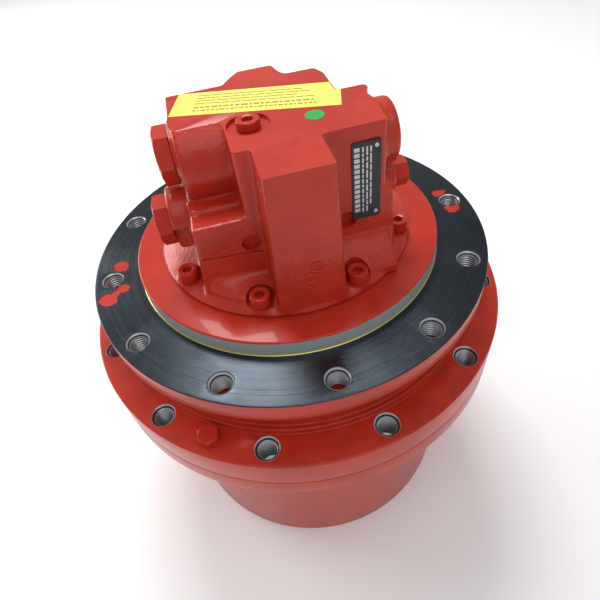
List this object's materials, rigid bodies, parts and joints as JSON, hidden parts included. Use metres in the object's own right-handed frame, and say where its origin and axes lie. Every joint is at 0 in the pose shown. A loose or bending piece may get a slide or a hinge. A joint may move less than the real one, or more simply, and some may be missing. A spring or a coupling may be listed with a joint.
{
  "type": "excavator final drive",
  "caption": "Track drive with a plug-in hydraulic motor, frame flange, turning sprocket flange and a two-stage planetary gearbox inside the drum.",
  "frame": {"origin": "centre of the drum rim that the drive stands on, on the drive axis", "axes": "+Z along the drive axis from the end cover to the hydraulic motor, -Y to the front of the motor block"},
  "size_m": [0.32, 0.32, 0.3663],
  "materials": {
    "red_paint": "glossy enamel",
    "machined_steel": "machined",
    "hardened_steel": "ground",
    "sintered_bronze": "sintered",
    "black_rubber": "matte"
  },
  "bodies": {
    "fixed_side": {"spindle": "machined_steel", "motor_housing": "red_paint", "port_plug_upper": "machined_steel", "port_plug_lower": "machined_steel", "port_plug_right": "machined_steel", "top_socket_plug": "machined_steel", "motor_screw_1": "machined_steel", "motor_screw_2": "machined_steel", "motor_screw_3": "machined_steel", "motor_screw_4": "machined_steel", "motor_screw_5": "machined_steel", "motor_screw_6": "machined_steel", "motor_screw_7": "machined_steel", "motor_screw_8": "machined_steel", "planet_carrier_2": "machined_steel", "carrier_screw_1": "machined_steel", "carrier_screw_2": "machined_steel", "carrier_screw_3": "machined_steel", "planet_pin_2_1": "machined_steel", "planet_pin_2_2": "machined_steel", "planet_pin_2_3": "machined_steel", "lower_bearing_inner_ring": "hardened_steel", "upper_bearing_inner_ring": "hardened_steel", "bearing_spacer": "machined_steel", "seal_ring_fixed": "hardened_steel", "toric_ring_fixed": "black_rubber", "brake_plate_1": "machined_steel", "brake_plate_2": "machined_steel"},
    "output_side": {"sprocket_hub": "red_paint", "ring_gear_drum": "red_paint", "end_cover": "red_paint", "cover_retaining_ring": "machined_steel", "cover_plug_1": "machined_steel", "cover_plug_2": "machined_steel", "flange_bolt_1": "red_paint", "flange_bolt_2": "red_paint", "lower_bearing_outer_ring": "hardened_steel", "upper_bearing_outer_ring": "hardened_steel", "seal_ring_turning": "hardened_steel", "toric_ring_turning": "black_rubber"},
    "input_shaft": {"motor_shaft": "hardened_steel", "shaft_coupling": "hardened_steel", "sun_shaft": "hardened_steel", "brake_disc_1": "sintered_bronze", "brake_disc_2": "sintered_bronze"},
    "piston_side": {"brake_piston": "hardened_steel", "brake_disc_spring": "hardened_steel"},
    "first_carrier": {"planet_carrier_1": "machined_steel", "sun_gear_2": "hardened_steel", "planet_pin_1_1": "hardened_steel", "planet_pin_1_2": "hardened_steel", "planet_pin_1_3": "hardened_steel"},
    "lower_cage": {"lower_bearing_rollers": "hardened_steel"},
    "upper_cage": {"upper_bearing_rollers": "hardened_steel"},
    "planet_1_1": {"planet_gear_1_1": "hardened_steel"},
    "planet_1_2": {"planet_gear_1_2": "hardened_steel"},
    "planet_1_3": {"planet_gear_1_3": "hardened_steel"},
    "planet_2_1": {"planet_gear_2_1": "hardened_steel"},
    "planet_2_2": {"planet_gear_2_2": "hardened_steel"},
    "planet_2_3": {"planet_gear_2_3": "hardened_steel"}
  },
  "joints": [
    {"name": "hub_turn", "type": "hinge", "parent": "fixed_side", "child": "output_side", "pos_m": [0, 0, 0.2083], "axis": [0, 0, 1], "continuous": true},
    {"name": "brake_piston_slide", "type": "slide", "parent": "fixed_side", "child": "piston_side", "axis": [0, 0, 1], "range_m": [0, 0.0015]},
    {"name": "input_turn", "type": "hinge", "parent": "fixed_side", "child": "input_shaft", "pos_m": [0, 0, 0.0297], "axis": [0, 0, 1], "continuous": true},
    {"name": "carrier_turn", "type": "hinge", "parent": "fixed_side", "child": "first_carrier", "pos_m": [0, 0, 0.0627], "axis": [0, 0, 1], "continuous": true},
    {"name": "lower_cage_turn", "type": "hinge", "parent": "fixed_side", "child": "lower_cage", "pos_m": [0, 0, 0.1415], "axis": [0, 0, 1], "continuous": true},
    {"name": "upper_cage_turn", "type": "hinge", "parent": "fixed_side", "child": "upper_cage", "pos_m": [0, 0, 0.1735], "axis": [0, 0, 1], "continuous": true},
    {"name": "planet_2_1_turn", "type": "hinge", "parent": "fixed_side", "child": "planet_2_1", "pos_m": [0.05456, 0.0315, 0.0837], "axis": [0, 0, 1], "continuous": true},
    {"name": "planet_2_2_turn", "type": "hinge", "parent": "fixed_side", "child": "planet_2_2", "pos_m": [-0.05456, 0.0315, 0.0837], "axis": [0, 0, 1], "continuous": true},
    {"name": "planet_2_3_turn", "type": "hinge", "parent": "fixed_side", "child": "planet_2_3", "pos_m": [0, -0.063, 0.0837], "axis": [0, 0, 1], "continuous": true},
    {"name": "planet_1_1_turn", "type": "hinge", "parent": "first_carrier", "child": "planet_1_1", "pos_m": [0.063, 0, 0.0297], "axis": [0, 0, 1], "continuous": true},
    {"name": "planet_1_2_turn", "type": "hinge", "parent": "first_carrier", "child": "planet_1_2", "pos_m": [-0.0315, 0.05456, 0.0297], "axis": [0, 0, 1], "continuous": true},
    {"name": "planet_1_3_turn", "type": "hinge", "parent": "first_carrier", "child": "planet_1_3", "pos_m": [-0.0315, -0.05456, 0.0297], "axis": [0, 0, 1], "continuous": true}
  ],
  "couplings": [
    {"joint": "input_turn", "follows": "hub_turn", "ratio": -35},
    {"joint": "carrier_turn", "follows": "hub_turn", "ratio": -5},
    {"joint": "lower_cage_turn", "follows": "hub_turn", "ratio": 0.5365},
    {"joint": "upper_cage_turn", "follows": "hub_turn", "ratio": 0.5365},
    {"joint": "planet_2_1_turn", "follows": "hub_turn", "ratio": 2.5},
    {"joint": "planet_2_2_turn", "follows": "hub_turn", "ratio": 2.5},
    {"joint": "planet_2_3_turn", "follows": "hub_turn", "ratio": 2.5},
    {"joint": "planet_1_1_turn", "follows": "hub_turn", "ratio": 15},
    {"joint": "planet_1_2_turn", "follows": "hub_turn", "ratio": 15},
    {"joint": "planet_1_3_turn", "follows": "hub_turn", "ratio": 15}
  ]
}
